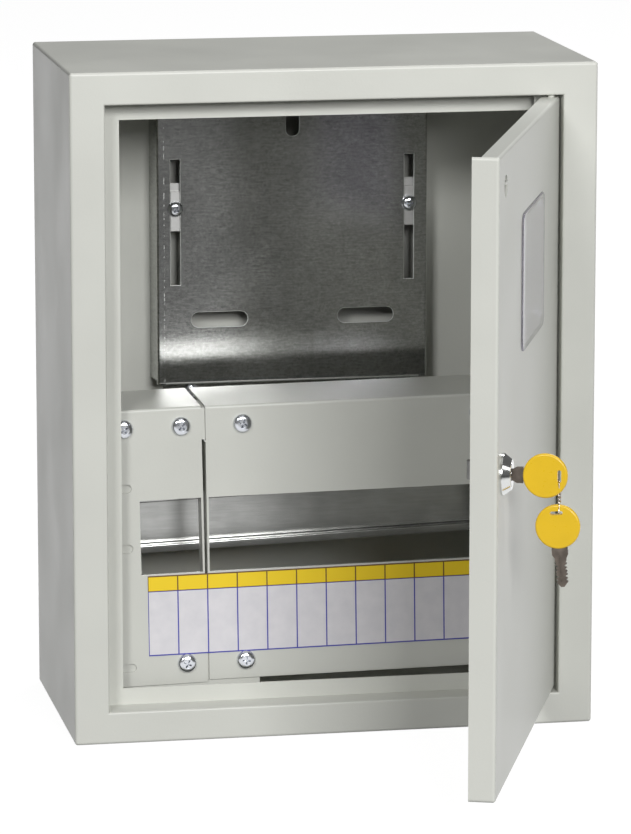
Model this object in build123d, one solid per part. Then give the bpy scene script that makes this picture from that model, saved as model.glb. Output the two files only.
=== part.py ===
import os

from build123d import *

# Wall-mounted sheet-steel enclosure for one electricity meter and a row of twelve modular devices.
# Millimetres. +X right, +Y towards the wall, +Z up. The origin is the centre of the base's underside.
# Depths are measured from the front plane towards the wall.

# Cabinet body
WIDTH = 310.0
HEIGHT = 395.0
DEPTH = 160.0
SHEET = 1.2
BEND = 1.8
FRONT_RIM = 20.4
RIM_BOTTOM = 19.0
RIM_TOP = 19.0
RECESS = 18.0
LIP = 10.7
LIP_BOTTOM = 9.8

# Door
DOOR_GAP = 1.5
DOOR_SIDE_FLANGE = 15.0
DOOR_END_FLANGE = 10.0
DOOR_OPEN = 69.7
HINGE_INSET = 5.1
HINGE_DEPTH = 4.5
PIN_RADIUS = 2.0
PIN_CLEARANCE = 0.05
PIN_HEAD_RADIUS = 3.2
PIN_HEAD = 1.6
HINGE_BLOCK = 8.0
HINGE_BLOCK_HEIGHT = 10.0
WASHER_PLAY = 0.05

# Window
WINDOW_X = 11.0
WINDOW_UNDER_TOP = 83.5
WINDOW_WIDTH = 96.0
WINDOW_HEIGHT = 78.0
WINDOW_CORNER = 7.0
WINDOW_LAP = 7.0
PANE_LAP = 2.3
GASKET = 1.0
PANE = 2.5
PANE_PLAY = 0.3
PANE_PROUD = 1.0
CLAMP_FRAME = 1.0
WINDOW_STUD_RADIUS = 1.5
WINDOW_STUD_OUT = 4.0
WINDOW_STUD_LENGTH = 9.0
WINDOW_NUT_FLATS = 5.5
WINDOW_NUT = 2.4

# Sealing eye at the door's free edge
SEAL_INSET = 26.6
SEAL_UNDER_TOP = 19.0
SEAL_HOLE_RADIUS = 6.2
SEAL_BRIDGE = 1.2
SEAL_BRIDGE_UP = 2.0
SEAL_RISE = 0.8

# Cylinder lock
LOCK_INSET = 19.1
LOCK_ABOVE_MIDDLE = 2.0
LOCK_HEAD_RADIUS = 11.6
LOCK_FACE_RADIUS = 8.4
LOCK_HEAD = 5.5
LOCK_HEAD_FOOT = 1.2
LOCK_BARREL_RADIUS = 9.2
LOCK_BARREL = 14.0
LOCK_FLAT = 8.0
PLUG_RADIUS = 6.8
PLUG_CLEARANCE = 0.05
LOCK_NUT = 3.0
LOCK_NUT_FLATS = 24.0
LOCK_HOLE_PLAY = 0.15
CAM_WIDTH = 10.0
CAM_REACH = 17.0
CAM_THICKNESS = 1.2
CAM_SQUARE = 6.0
CAM_CRANK_FROM = 5.6
CAM_CRANK_TO = 8.4
CAM_BEHIND_LIP = 0.2
CAM_SCREW_RADIUS = 2.0
CAM_SCREW_HEAD = 3.6
CAM_SCREW_DOME = 2.0

# Keys
KEY_THICKNESS = 2.0
KEY_BLADE_WIDTH = 6.3
KEY_BLADE = 15.7
KEY_COLLAR_WIDTH = 8.8
KEY_COLLAR = 5.7
KEY_HEAD_RADIUS = 12.25
KEY_HEAD = 3.2
KEY_HEAD_LAP = 0.3
KEY_TANG = 5.0
KEY_SLOT_OUT = 7.7
KEY_SLOT_LENGTH = 7.0
KEY_SLOT_WIDTH = 2.0
KEYWAY_PLAY = 0.1
LINK_WIRE = 0.4
LINK_HALF_WIDTH = 2.7
LINK_CORNER = 1.6
LINK_REST = 0.3
LINK_LENGTH = 16.9
SPARE_OFF_MIDDLE = 1.5
SPARE_TILT = 5.5

# Cover plates in front of the device row
COVER_DEPTH = 30.0
COVER_SHEET = 1.2
COVER_BEND = 1.6
COVER_TOP = 193.8
COVER_BOTTOM = 27.6
RIGHT_COVER_BOTTOM = 28.9
COVER_SIDE = WIDTH / 2 - 21.0
COVER_TOP_FLANGE = 60.0
COVER_FLANGE = 12.0
COVER_MIDDLE = (COVER_TOP + COVER_BOTTOM) / 2
MODULE = 17.8
MODULES = 12
LEFT_MODULES = 2
SEAM = MODULE * (LEFT_MODULES - MODULES / 2)
SEAM_LEFT = SEAM - 2.0
SEAM_RIGHT = SEAM - 0.2
SEAM_TAB_TOP = 2.1
SEAM_TAB_BOTTOM = 0.5
SEAM_TAB_TOP_FROM = COVER_TOP - 19.8
SEAM_TAB_BOTTOM_TO = COVER_BOTTOM + 26.4
SEAM_FLANGE_FROM = COVER_BOTTOM + 26.4
SEAM_FLANGE_TO = COVER_TOP - 21.8
LEFT_COVER_LEAN = 1.2
RIGHT_COVER_LEAN = 0.7
CUTOUT_LEFT = -MODULE * MODULES / 2 - 4.2
CUTOUT_RIGHT = MODULE * MODULES / 2 - 0.8
CUTOUT_BOTTOM = 94.4
CUTOUT_TOP = 139.2

# Screws that hold the covers
COVER_SCREW_HEAD = 5.2
COVER_SCREW_DOME = 3.0
COVER_SCREW_RADIUS = 2.0
COVER_SCREW_LENGTH = 9.0
SCREW_PLAY = 0.3
THREAD_PLAY = 0.05
COVER_SCREW_TOP = COVER_TOP - 11.2
COVER_SCREW_BOTTOM = COVER_BOTTOM + 12.2
COVER_SCREW_OUTER = 14.7 - COVER_SIDE
COVER_SCREW_BY_SEAM = SEAM_LEFT - 12.1
COVER_SCREW_MIDDLE = SEAM_RIGHT + 22.0
COVER_SCREW_RIGHT = COVER_SIDE - 41.5
COVER_SCREWS_LEFT = [(COVER_SCREW_OUTER, COVER_SCREW_TOP), (COVER_SCREW_BY_SEAM, COVER_SCREW_TOP),
                     (COVER_SCREW_BY_SEAM, COVER_SCREW_BOTTOM)]
COVER_SCREWS_RIGHT = [(x, z) for x in (COVER_SCREW_MIDDLE, COVER_SCREW_RIGHT)
                      for z in (COVER_SCREW_TOP, COVER_SCREW_BOTTOM)]
COVER_SLOT = (12.0, 5.0)
COVER_SLOT_X = COVER_SIDE - 12.5
COVER_SLOT_ROWS = (COVER_TOP - 47.0, COVER_MIDDLE, COVER_BOTTOM + 11.1)
COVER_SLOTS_LEFT = [(-COVER_SLOT_X, z) for z in COVER_SLOT_ROWS]
COVER_SLOTS_RIGHT = [(COVER_SLOT_X, z) for z in COVER_SLOT_ROWS]

# Carrier behind the covers
CARRIER_SHEET = 1.5
CARRIER_PLAY = 0.1
CARRIER_TOP = COVER_TOP - 3.3
CARRIER_BOTTOM = COVER_BOTTOM + 3.8
CARRIER_HEEL_TO = -40.0
CARRIER_HEEL = 6.0
CARRIER_POST = MODULE * MODULES / 2 + 5.7
CARRIER_WINDOW_BOTTOM = COVER_BOTTOM + 24.4
CARRIER_WINDOW_TOP = COVER_TOP - 19.8
CARRIER_FLANGE = 16.0

# Device labels
LABEL_TOP = CUTOUT_BOTTOM - 0.1
LABEL_HEIGHT = 48.4
LABEL_THICKNESS = 0.3
LABEL_LEAN = 0.7
LABEL_SCREW_PLAY = 0.15

# Device rail
RAIL_DEPTH = 74.0
RAIL_Z = (CUTOUT_BOTTOM + CUTOUT_TOP) / 2 + 1.2
RAIL_LEAN = 1.8
RAIL_HEIGHT = 35.0
RAIL_CHANNEL = 27.0
RAIL_HAT = 7.5
RAIL_SHEET = 1.0
RAIL_LENGTH = WIDTH - 64.0
RAIL_SCREW_X = RAIL_LENGTH / 2 - 8.0
RAIL_SCREW_RADIUS = 2.5
RAIL_SCREW_HEAD = 4.4
RAIL_SCREW_DOME = 2.6
RAIL_SCREW_LENGTH = 9.0
RAIL_SLOT = 15.0
BRACKET_SHEET = 2.0
BRACKET_WIDTH = 30.0
BRACKET_FOOT = 18.0

# Meter plate
PLATE_STANDOFF = 20.0
PLATE_DEPTH = DEPTH - PLATE_STANDOFF
PLATE_LEAN = 1.8
PLATE_RELIEF = 2.4
PLATE_PUNCH = 0.35
PLATE_SHEET = 1.2
PLATE_WIDTH = 166.4
PLATE_BOTTOM = 186.4
PLATE_TOP = HEIGHT - 24.0
PLATE_FOOT = 13.0
PLATE_SIDE_SLOT_X = PLATE_WIDTH / 2 - 11.2
PLATE_SIDE_SLOT_BOTTOM = PLATE_BOTTOM + 61.3
PLATE_SIDE_SLOT_TOP = PLATE_TOP - 46.7
PLATE_SIDE_SLOT_WIDTH = 5.8
PLATE_LOWER_SLOT = (34.5, 9.0)
PLATE_LOWER_SLOT_X = 45.1
PLATE_LOWER_SLOT_Z = PLATE_BOTTOM + 39.6
PLATE_HOOK_SLOT = (8.0, 24.0)
PLATE_HOOK_SLOT_BOTTOM = PLATE_TOP - 34.0
PLATE_STUD_X = PLATE_WIDTH / 2 - 23.2
PLATE_STUD_RADIUS = 2.5
PLATE_STUD_LENGTH = 8.0
NUT_FLATS = 8.0
NUT = 4.0

# Meter sliders
SLIDER_Z = PLATE_SIDE_SLOT_BOTTOM + 0.62 * (PLATE_SIDE_SLOT_TOP - PLATE_SIDE_SLOT_BOTTOM)
SLIDER_HEIGHT = 29.0
SLIDER_WIDTH = 13.0
SLIDER_SHEET = 1.5
SLIDER_SCREW_Z = SLIDER_Z - 0.9
SLIDER_SCREW_RADIUS = 2.0
SLIDER_SCREW_HEAD = 4.6
SLIDER_SCREW_DOME = 3.0
SLIDER_SCREW_LENGTH = 7.0
SLIDER_JOGGLE = 5.0
SLIDER_PLAY = 0.2

# Neutral and earth bars
BAR_Z = 52.0
BAR_X = 56.0
BAR_LENGTH = 86.0
BAR_HEIGHT = 9.0
BAR_THICKNESS = 6.0
BAR_TERMINALS = 8
BAR_HOLE_RADIUS = 1.8
BAR_HOLE_DEPTH = 3.6
BAR_SCREW_IN = 2.1
BAR_SCREW_OUT = 2.4
BAR_EDGE = 6.5
BAR_SCREW_RADIUS = 1.9
BAR_STANDOFF = 22.0
BAR_STANDOFF_RADIUS = 6.0
BAR_FOOT_X = 37.0
BAR_FIX_RADIUS = 2.0
BAR_FIX_LENGTH = 7.0
BAR_FIX_HEAD = 3.6
BAR_FIX_DOME = 2.0

# Earth stud
EARTH_X = WIDTH / 2 - 33.0
EARTH_Z = 70.0
EARTH_RADIUS = 3.0
EARTH_LENGTH = 18.0
EARTH_WASHER_RADIUS = 6.0
EARTH_WASHER = 1.2
EARTH_NUT_FLATS = 10.0
EARTH_NUT = 5.0

# Wall fixing and cable entries
WALL_HOLE_RADIUS = 3.5
WALL_SPACING_X = WIDTH - 80.0
WALL_SPACING_Z = HEIGHT - 65.0
ENTRY_RADII = [11.0, 14.0, 14.0, 11.0]
ENTRY_PITCH = 52.0
ENTRY_DEPTH = 90.0
ENTRY_GROOVE = 0.6
ENTRY_GROOVE_WIDTH = 1.0

FRONT = -DEPTH / 2
WALL = DEPTH - SHEET
OPENING_LEFT = -WIDTH / 2 + FRONT_RIM
OPENING_RIGHT = WIDTH / 2 - FRONT_RIM
OPENING_BOTTOM = RIM_BOTTOM
OPENING_TOP = HEIGHT - RIM_TOP
DOOR_LEFT = OPENING_LEFT + DOOR_GAP
DOOR_RIGHT = OPENING_RIGHT - DOOR_GAP
DOOR_BOTTOM = OPENING_BOTTOM + DOOR_GAP
DOOR_TOP = OPENING_TOP - DOOR_GAP
LOCK_X = DOOR_LEFT + LOCK_INSET
LOCK_Z = (DOOR_BOTTOM + DOOR_TOP) / 2 + LOCK_ABOVE_MIDDLE
SEAL_X = DOOR_LEFT + SEAL_INSET
SEAL_Z = DOOR_TOP - SEAL_UNDER_TOP
WINDOW_Z = DOOR_TOP - WINDOW_UNDER_TOP
HINGE_X = DOOR_RIGHT - HINGE_INSET
HINGE_Y = FRONT + HINGE_DEPTH
EPS = 1.0


def block(x0, x1, d0, d1, z0, z1):
    """A box between two depths."""
    centre = ((x0 + x1) / 2, FRONT + (d0 + d1) / 2, (z0 + z1) / 2)
    return Pos(*centre) * Box(x1 - x0, d1 - d0, z1 - z0)


def sheet(outline, depth, thickness):
    """An upright sheet with the given outline, its front face at a depth."""
    return extrude(Plane.XZ.offset(-(FRONT + depth + thickness)) * outline, thickness)


def rod(x, z, radius, d0, d1):
    """A round bar along the depth."""
    return sheet(Pos(x, z) * Circle(radius), d0, d1 - d0)


def hexagon(x, z, flats, d0, d1):
    """A hexagonal bar along the depth, with its width across flats."""
    return sheet(Pos(x, z) * RegularPolygon(flats / 2, 6, major_radius=False), d0, d1 - d0)


def pan_head(x, z, radius, dome, depth, shank_radius, length):
    """A pan-head screw with a cross recess, its head's seat at a depth."""
    head = rod(0, 0, radius, -dome, 0)
    head = fillet(head.edges().sort_by(Axis.Y)[0], dome * 0.75)
    for turn in (45, 135):
        cross = Rot(0, 0, turn) * Rectangle(radius * 1.1, radius * 0.22)
        head -= sheet(cross, -dome - EPS, EPS + dome * 0.5)
    screw = head + rod(0, 0, shank_radius, 0, length)
    return Pos(x, depth, z) * screw


def leaning(angle, x, z):
    """A small turn about a point of the front view, right side up."""
    return Pos(x, 0, z) * Rot(0, -angle, 0) * Pos(-x, 0, -z)


def hung(shape):
    """The door and what it carries, swung open from the closed place."""
    return Pos(HINGE_X, HINGE_Y, 0) * Rot(0, 0, DOOR_OPEN) * Pos(-HINGE_X, -HINGE_Y, 0) * shape


LEFT_LEAN = leaning(LEFT_COVER_LEAN, SEAM_LEFT, COVER_MIDDLE)
RIGHT_LEAN = leaning(RIGHT_COVER_LEAN, SEAM_RIGHT, COVER_MIDDLE)
RAIL_PLACE = leaning(RAIL_LEAN, 0, RAIL_Z)


def on(lean, x, z):
    """Where a point of a leaning piece lies in the cabinet."""
    place = (lean * Pos(x, 0, z)).position
    return place.X, place.Z


def body_shell():
    """The wrap with its front rim, door recess and stop lip, folded and welded into one piece."""
    outer = block(-WIDTH / 2, WIDTH / 2, 0, DEPTH, 0, HEIGHT)
    outer = fillet(outer.edges() - outer.faces().sort_by(Axis.Y)[-1].edges(), BEND)
    shell = outer - block(-WIDTH / 2 + SHEET, WIDTH / 2 - SHEET, SHEET, DEPTH + EPS, SHEET, HEIGHT - SHEET)
    recess = block(OPENING_LEFT - SHEET, OPENING_RIGHT + SHEET, SHEET / 2, RECESS + SHEET,
                   OPENING_BOTTOM - SHEET, OPENING_TOP + SHEET)
    shell += recess
    shell -= block(OPENING_LEFT, OPENING_RIGHT, -EPS, RECESS, OPENING_BOTTOM, OPENING_TOP)
    shell -= block(OPENING_LEFT + LIP, OPENING_RIGHT - LIP, -EPS, RECESS + 2 * SHEET,
                   OPENING_BOTTOM + LIP_BOTTOM, OPENING_TOP - LIP)
    rim = [edge for edge in shell.edges()
           if abs(edge.center().Y - FRONT) < 0.01
           and abs(edge.center().X) < WIDTH / 2 - FRONT_RIM + 0.01
           and OPENING_BOTTOM - 0.01 < edge.center().Z < OPENING_TOP + 0.01]
    shell = fillet(rim, SHEET)
    for end in (OPENING_BOTTOM - SHEET - EPS, OPENING_TOP - EPS):
        shell -= Pos(HINGE_X, HINGE_Y, end) * Cylinder(
            PIN_RADIUS, SHEET + 2 * EPS, align=(Align.CENTER, Align.CENTER, Align.MIN))
    for index, radius in enumerate(ENTRY_RADII):
        x = (index - (len(ENTRY_RADII) - 1) / 2) * ENTRY_PITCH
        ring = Circle(radius) - Circle(radius - ENTRY_GROOVE_WIDTH)
        shell -= Pos(x, FRONT + ENTRY_DEPTH, 0) * extrude(ring, ENTRY_GROOVE)
    return shell


def back_panel():
    """The rear sheet, welded inside the wrap, with four holes for wall screws."""
    margin = SHEET
    panel = block(-WIDTH / 2 + margin, WIDTH / 2 - margin, WALL, DEPTH, margin, HEIGHT - margin)
    for x in (-WALL_SPACING_X / 2, WALL_SPACING_X / 2):
        for z in (-WALL_SPACING_Z / 2, WALL_SPACING_Z / 2):
            panel -= rod(x, HEIGHT / 2 + z, WALL_HOLE_RADIUS, WALL - EPS, DEPTH + EPS)
    return panel


def window_outline(growth):
    """The window's rounded outline, grown on every side."""
    return Pos(WINDOW_X, WINDOW_Z) * RectangleRounded(
        WINDOW_WIDTH + 2 * growth, WINDOW_HEIGHT + 2 * growth, WINDOW_CORNER + max(growth, 0))


def window_stud_places():
    """Four studs beside the window's corners."""
    out_x = WINDOW_WIDTH / 2 + WINDOW_STUD_OUT
    up_z = WINDOW_HEIGHT / 2 - WINDOW_CORNER
    return [(WINDOW_X + sx * out_x, WINDOW_Z + sz * up_z) for sx in (-1, 1) for sz in (-1, 1)]


def lock_section(growth):
    """The threaded barrel's section with two flats."""
    barrel = Circle(LOCK_BARREL_RADIUS + growth)
    return barrel & Rectangle(2 * (LOCK_FLAT + growth), 3 * LOCK_BARREL_RADIUS)


def seal_bridge():
    """The strap across the sealing hole, bulged outwards so that a seal's wire passes under it."""
    half = SEAL_HOLE_RADIUS + 0.4
    arch = ThreePointArc((-half, SHEET / 2), (0, -SEAL_RISE), (half, SHEET / 2))
    strap = make_face(offset(arch, amount=SHEET, side=Side.RIGHT, closed=True).edges())
    if strap.bounding_box().min.Y < -SEAL_RISE - SHEET / 2:
        strap = make_face(offset(arch, amount=SHEET, side=Side.LEFT, closed=True).edges())
    bridge = extrude(strap, SEAL_BRIDGE / 2, both=True)
    return Pos(SEAL_X, FRONT, SEAL_Z + SEAL_BRIDGE_UP) * bridge


def door():
    """The tray door: face, deep side flanges and shallower end flanges."""
    tray = block(DOOR_LEFT, DOOR_RIGHT, 0, DOOR_SIDE_FLANGE, DOOR_BOTTOM, DOOR_TOP)
    tray = fillet(tray.edges() - tray.faces().sort_by(Axis.Y)[-1].edges(), BEND)
    tray -= block(DOOR_LEFT + SHEET, DOOR_RIGHT - SHEET, SHEET, DOOR_SIDE_FLANGE + EPS,
                  DOOR_BOTTOM + SHEET, DOOR_TOP - SHEET)
    for end in (DOOR_BOTTOM - EPS, DOOR_TOP - SHEET - EPS):
        tray -= block(DOOR_LEFT + SHEET, DOOR_RIGHT - SHEET, DOOR_END_FLANGE, DOOR_SIDE_FLANGE + EPS,
                      end, end + SHEET + 2 * EPS)
    tray -= sheet(window_outline(0), -EPS, SHEET + 2 * EPS)
    tray -= sheet(Pos(LOCK_X, LOCK_Z) * lock_section(LOCK_HOLE_PLAY), -EPS, SHEET + 2 * EPS)
    for end in (DOOR_BOTTOM - EPS, DOOR_TOP - SHEET - EPS):
        tray -= Pos(HINGE_X, HINGE_Y, end) * Cylinder(
            PIN_RADIUS + PIN_CLEARANCE, SHEET + 2 * EPS, align=(Align.CENTER, Align.CENTER, Align.MIN))
    tray -= rod(SEAL_X, SEAL_Z, SEAL_HOLE_RADIUS, -EPS, SHEET + EPS)
    return tray + seal_bridge()


def hinge_block(base):
    """A bored block welded in a corner of the door, which turns on a hinge pin."""
    left = HINGE_X - HINGE_BLOCK / 2
    right = min(HINGE_X + HINGE_BLOCK / 2, DOOR_RIGHT - SHEET)
    body = block(left, right, SHEET, SHEET + HINGE_BLOCK, base, base + HINGE_BLOCK_HEIGHT)
    return body - Pos(HINGE_X, HINGE_Y, base + HINGE_BLOCK_HEIGHT / 2) * Cylinder(
        PIN_RADIUS + PIN_CLEARANCE, HINGE_BLOCK_HEIGHT + EPS)


def hinge_pin(upward):
    """A headed pin, pressed through the recess wall into the door's hinge block."""
    length = SHEET + DOOR_GAP + SHEET + HINGE_BLOCK_HEIGHT - EPS
    upright = (Align.CENTER, Align.CENTER, Align.MIN)
    pin = Cylinder(PIN_RADIUS, length, align=upright)
    pin += Pos(0, 0, -PIN_HEAD) * Cylinder(PIN_HEAD_RADIUS, PIN_HEAD, align=upright)
    pin = chamfer(pin.edges().sort_by(Axis.Z)[-1], 0.4)
    if upward:
        return Pos(HINGE_X, HINGE_Y, OPENING_BOTTOM - SHEET) * pin
    return Pos(HINGE_X, HINGE_Y, OPENING_TOP + SHEET) * Rot(180, 0, 0) * pin


def hinge_washer():
    """The thrust washer that carries the door's weight."""
    height = DOOR_GAP - WASHER_PLAY
    ring = Circle(PIN_HEAD_RADIUS) - Circle(PIN_RADIUS + PIN_CLEARANCE)
    return Pos(HINGE_X, HINGE_Y, OPENING_BOTTOM) * extrude(ring, height)


def window_gasket():
    """The flat seal between the door's face and the pane."""
    return sheet(window_outline(PANE_LAP) - window_outline(0.4), SHEET, GASKET)


def window_pane():
    """The moulded clear pane; its middle stands through the cut-out, a little proud of the door."""
    raised = sheet(window_outline(-PANE_PLAY), -PANE_PROUD, PANE_PROUD + SHEET + GASKET + PANE / 2)
    raised = fillet(raised.faces().sort_by(Axis.Y)[0].edges(), PANE_PROUD * 0.7)
    return raised + sheet(window_outline(PANE_LAP), SHEET + GASKET, PANE)


def window_clamp():
    """The folded frame that presses the pane on its gasket, with a joggled rim round the pane."""
    depth = SHEET + GASKET + PANE
    plate = sheet(window_outline(WINDOW_LAP), depth, CLAMP_FRAME)
    plate -= sheet(window_outline(-3), depth - EPS, CLAMP_FRAME + 2 * EPS)
    skirt = window_outline(WINDOW_LAP) - window_outline(WINDOW_LAP - CLAMP_FRAME)
    plate += sheet(skirt, SHEET + 0.3, depth + CLAMP_FRAME - SHEET - 0.3)
    for x, z in window_stud_places():
        plate -= rod(x, z, WINDOW_STUD_RADIUS + SCREW_PLAY, depth - EPS, depth + CLAMP_FRAME + EPS)
    return plate


def window_studs():
    """Studs welded on the door, which hold the clamp frame."""
    tip = SHEET + WINDOW_STUD_LENGTH
    return Compound(children=[
        hung(rod(x, z, WINDOW_STUD_RADIUS, SHEET, tip)) for x, z in window_stud_places()])


def window_nuts():
    """Nuts on the studs of the clamp frame."""
    depth = SHEET + GASKET + PANE + CLAMP_FRAME
    nuts = []
    for x, z in window_stud_places():
        nut = hexagon(x, z, WINDOW_NUT_FLATS, depth, depth + WINDOW_NUT)
        bore = rod(x, z, WINDOW_STUD_RADIUS + THREAD_PLAY, depth - EPS, depth + WINDOW_NUT + EPS)
        nuts.append(hung(nut - bore))
    return Compound(children=nuts)


def lock_body():
    """The lock's round head and its threaded barrel with two flats."""
    profile = Polyline((0, 0), (LOCK_HEAD_RADIUS, 0), (LOCK_HEAD_RADIUS, -LOCK_HEAD_FOOT),
                       (LOCK_FACE_RADIUS, -LOCK_HEAD), (0, -LOCK_HEAD), close=True)
    head = revolve(make_face(profile), Axis.Y)
    head = fillet(head.edges().filter_by(GeomType.CIRCLE).sort_by(Axis.Y)[:2], 0.5)
    head = Pos(LOCK_X, FRONT, LOCK_Z) * head
    barrel = sheet(Pos(LOCK_X, LOCK_Z) * lock_section(0), 0, LOCK_BARREL)
    bore = rod(LOCK_X, LOCK_Z, PLUG_RADIUS + PLUG_CLEARANCE, -LOCK_HEAD - EPS, LOCK_BARREL + EPS)
    return head + barrel - bore


def lock_nut():
    """The thin nut that clamps the lock in the door."""
    nut = hexagon(LOCK_X, LOCK_Z, LOCK_NUT_FLATS, SHEET, SHEET + LOCK_NUT)
    return nut - rod(LOCK_X, LOCK_Z, LOCK_BARREL_RADIUS + THREAD_PLAY, 0, SHEET + LOCK_NUT + EPS)


def cam_root():
    """The cam's root lies on the end of the lock's barrel."""
    return LOCK_BARREL + 0.2


def lock_plug():
    """The turning plug: keyway in front, a square for the cam behind."""
    front = -LOCK_HEAD - 0.2
    plug = rod(LOCK_X, LOCK_Z, PLUG_RADIUS, front, cam_root())
    square = Pos(LOCK_X, LOCK_Z) * Rectangle(CAM_SQUARE, CAM_SQUARE)
    plug += sheet(square, cam_root(), CAM_THICKNESS - 0.1)
    width = KEY_BLADE_WIDTH + 2 * KEYWAY_PLAY
    keyway = Pos(LOCK_X, LOCK_Z) * Rectangle(KEY_THICKNESS + 2 * KEYWAY_PLAY, width)
    plug -= sheet(keyway, front - EPS, EPS + KEY_BLADE + 0.4)
    tapped = CAM_SCREW_RADIUS + THREAD_PLAY
    return plug - rod(LOCK_X, LOCK_Z, tapped, cam_root() - 2.6, cam_root() + 2 * CAM_THICKNESS)


def lock_cam():
    """The cranked cam, turned towards the hinge side while the door stands open."""
    behind_lip = RECESS + SHEET + CAM_BEHIND_LIP - cam_root()
    half = CAM_WIDTH / 2
    path = FilletPolyline((-half, 0), (CAM_CRANK_FROM, 0), (CAM_CRANK_TO, behind_lip),
                          (CAM_REACH, behind_lip), radius=1.0)
    side = make_face(offset(path, amount=CAM_THICKNESS, side=Side.LEFT, closed=True).edges())
    arm = extrude(side, half, both=True)
    outline = Rectangle(CAM_REACH - half, CAM_WIDTH, align=(Align.MIN, Align.CENTER)) + Circle(half)
    outline += Pos(CAM_REACH - half, 0) * Circle(half)
    outline -= Rectangle(CAM_SQUARE + 0.2, CAM_SQUARE + 0.2)
    column = extrude(Plane.XZ.offset(-2 * behind_lip) * outline, 4 * behind_lip)
    return Pos(LOCK_X, FRONT + cam_root(), LOCK_Z) * (arm & column)


def cam_screw():
    """The slotted cheese-head screw that holds the cam."""
    seat = cam_root() + CAM_THICKNESS
    screw = rod(LOCK_X, LOCK_Z, CAM_SCREW_HEAD, seat, seat + CAM_SCREW_DOME)
    screw = fillet(screw.edges().sort_by(Axis.Y)[-1], 1.6)
    slot = Pos(LOCK_X, LOCK_Z) * Rectangle(3 * CAM_SCREW_HEAD, 1.0)
    screw -= sheet(slot, seat + CAM_SCREW_DOME - 1.1, 2.0)
    return screw + rod(LOCK_X, LOCK_Z, CAM_SCREW_RADIUS, cam_root() - 2.4, seat)


def key_blade():
    """A key's steel part with its shoulder at the origin: blade to +X, collar and tang to -X."""
    half = KEY_BLADE_WIDTH / 2
    teeth = 6
    pitch = (KEY_BLADE - 4.0) / teeth
    upper = [(0, half)]
    for index in range(teeth):
        cut = 0.5 + 0.45 * (index * 5 % 3)
        start = 1.2 + index * pitch
        upper += [(start, half), (start + pitch * 0.4, half - cut), (start + pitch * 0.6, half - cut)]
    upper += [(KEY_BLADE - 2.8, half), (KEY_BLADE, 0.9)]
    lower = [(x, -z) for x, z in reversed(upper)]
    blade = make_face(Polyline(*upper, *lower, close=True))
    wide = KEY_COLLAR_WIDTH / 2
    collar = Polyline((0, -half), (0, half), (-2.2, wide), (-KEY_COLLAR, wide),
                      (-KEY_COLLAR, -wide), (-2.2, -wide), close=True)
    tang = Pos(-KEY_COLLAR - KEY_TANG / 2, 0) * Rectangle(KEY_TANG, KEY_BLADE_WIDTH)
    outline = blade + make_face(collar) + tang
    steel = extrude(outline, KEY_THICKNESS / 2, both=True)
    for side in (-1, 1):
        groove = Pos(KEY_BLADE / 2 - 1, 0, side * KEY_THICKNESS / 2) * Box(KEY_BLADE, 1.2, 0.8)
        steel -= groove
    return steel


def key_head():
    """The moulded round head round the tang, with the slot for the wire link."""
    disc = Cylinder(KEY_HEAD_RADIUS, KEY_HEAD)
    disc = fillet(disc.edges(), 1.1)
    slot = Rot(0, 0, 90) * SlotOverall(KEY_SLOT_LENGTH, KEY_SLOT_WIDTH)
    disc -= Pos(-KEY_SLOT_OUT, 0, 0) * extrude(slot, KEY_HEAD, both=True)
    disc = Pos(-KEY_COLLAR - KEY_HEAD_RADIUS + KEY_HEAD_LAP, 0, 0) * disc
    disc -= Pos(-KEY_COLLAR - KEY_TANG / 2, 0, 0) * Box(KEY_TANG, KEY_BLADE_WIDTH, KEY_THICKNESS)
    return disc - Pos(-KEY_COLLAR / 2, 0, 0) * Box(KEY_COLLAR, KEY_COLLAR_WIDTH, KEY_THICKNESS)


KEY_SLOT_FROM_SHOULDER = KEY_COLLAR + KEY_HEAD_RADIUS - KEY_HEAD_LAP + KEY_SLOT_OUT
KEY_SHOULDER_DEPTH = -LOCK_HEAD - 0.4
LINK_DEPTH = KEY_SHOULDER_DEPTH - KEY_SLOT_FROM_SHOULDER
LINK_TOP = LOCK_Z - KEY_SLOT_LENGTH / 2 + LINK_WIRE + LINK_REST
LINK_BOTTOM = LINK_TOP - LINK_LENGTH
SPARE_SHOULDER_DROP = LINK_WIRE + LINK_REST - KEY_SLOT_WIDTH / 2 - KEY_SLOT_FROM_SHOULDER


def key_in_lock(shape):
    """Turns a key so that its blade points into the lock and its head stands upright."""
    return hung(Pos(LOCK_X, FRONT + KEY_SHOULDER_DEPTH, LOCK_Z) * Rot(0, 0, 90) * Rot(90, 0, 0) * shape)


def spare_key(shape):
    """Turns the spare key so that it hangs from the wire link with its blade down."""
    wire = Pos(LOCK_X, FRONT + LINK_DEPTH, LINK_BOTTOM) * Rot(-SPARE_TILT, 0, 0)
    return hung(wire * Pos(0, SPARE_OFF_MIDDLE, SPARE_SHOULDER_DROP) * Rot(0, 90, 0) * shape)


def key_link():
    """The wire loop through both keys' slots."""
    w = LINK_HALF_WIDTH
    path = FilletPolyline((-w, LINK_BOTTOM), (w, LINK_BOTTOM), (w, LINK_TOP), (-w, LINK_TOP),
                          radius=LINK_CORNER, close=True)
    path = Plane.XZ.offset(-(FRONT + LINK_DEPTH)) * path
    path = Pos(LOCK_X, 0, 0) * path
    start = path.edges()[0]
    section = Plane(origin=start @ 0, z_dir=start % 0) * Circle(LINK_WIRE)
    return sweep(section, path=Wire(path.edges()))


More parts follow.
